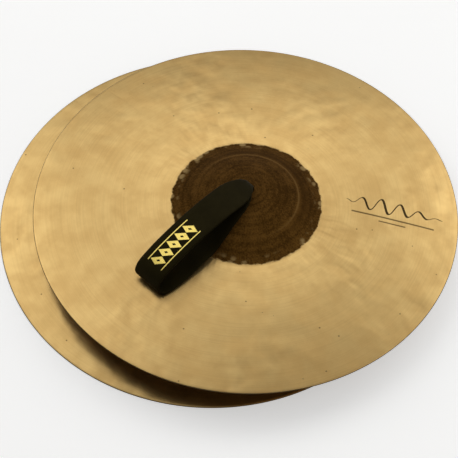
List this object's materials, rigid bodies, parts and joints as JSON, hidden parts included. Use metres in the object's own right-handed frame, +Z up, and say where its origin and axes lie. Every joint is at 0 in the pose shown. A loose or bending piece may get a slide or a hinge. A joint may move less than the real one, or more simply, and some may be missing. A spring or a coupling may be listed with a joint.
{
  "type": "hand cymbals",
  "caption": "Pair of orchestral hand cymbals laid one on the other, each a hammered bronze plate with a raised bell and a knotted leather hand strap.",
  "frame": {"origin": "centre of the stacked pair's footprint, on the surface that the lower cymbal's rim stands on", "axes": "+Z up, along the lower cymbal's axis; -Y within 2 degrees of the way the upper hand strap points"},
  "size_m": [0.432, 0.4281, 0.0773],
  "materials": {
    "lower_bronze": "hammered and finely lathed bronze, satin",
    "upper_bronze": "hammered and finely lathed bronze, satin, with an unlathed dark brown bell",
    "lower_leather": "smooth black leather with cut edges",
    "upper_leather": "smooth black leather with cut edges"
  },
  "bodies": {
    "lower_cymbal": {"lower_plate": "lower_bronze"},
    "lower_knot": {"lower_tail_1": "lower_leather", "lower_tail_2": "lower_leather", "lower_tail_3": "lower_leather", "lower_tail_4": "lower_leather"},
    "lower_strap": {"lower_strap_loop": "lower_leather"},
    "upper_cymbal": {"upper_plate": "upper_bronze"},
    "upper_knot": {"upper_tail_1": "upper_leather", "upper_tail_2": "upper_leather", "upper_tail_3": "upper_leather", "upper_tail_4": "upper_leather"},
    "upper_strap": {"upper_strap_loop": "upper_leather"}
  },
  "joints": [
    {"name": "upper_lift", "type": "slide", "parent": "lower_cymbal", "child": "upper_cymbal", "axis": [0, 0, 1], "range_m": [0, 0.25]},
    {"name": "upper_strap_swivel", "type": "hinge", "parent": "upper_cymbal", "child": "upper_knot", "pos_m": [0.01211, 0.01197, 0.06952], "axis": [-0.0164, 0.0254, 0.9995], "continuous": true},
    {"name": "upper_strap_fold", "type": "hinge", "parent": "upper_knot", "child": "upper_strap", "pos_m": [0.01211, 0.01197, 0.06952], "axis": [-0.9993, -0.0349, -0.0155], "range_deg": [0, 100]},
    {"name": "lower_strap_swivel", "type": "hinge", "parent": "lower_cymbal", "child": "lower_knot", "pos_m": [-0.0128, -0.0109, 0.04213], "axis": [0, 0, 1], "continuous": true},
    {"name": "lower_strap_fold", "type": "hinge", "parent": "lower_knot", "child": "lower_strap", "pos_m": [-0.0128, -0.0109, 0.04213], "axis": [0.6483, -0.7614, 0], "range_deg": [0, 80]}
  ],
  "couplings": [
    {"joint": "lower_strap_fold", "follows": "upper_lift", "rad_per_m": 5.58}
  ]
}
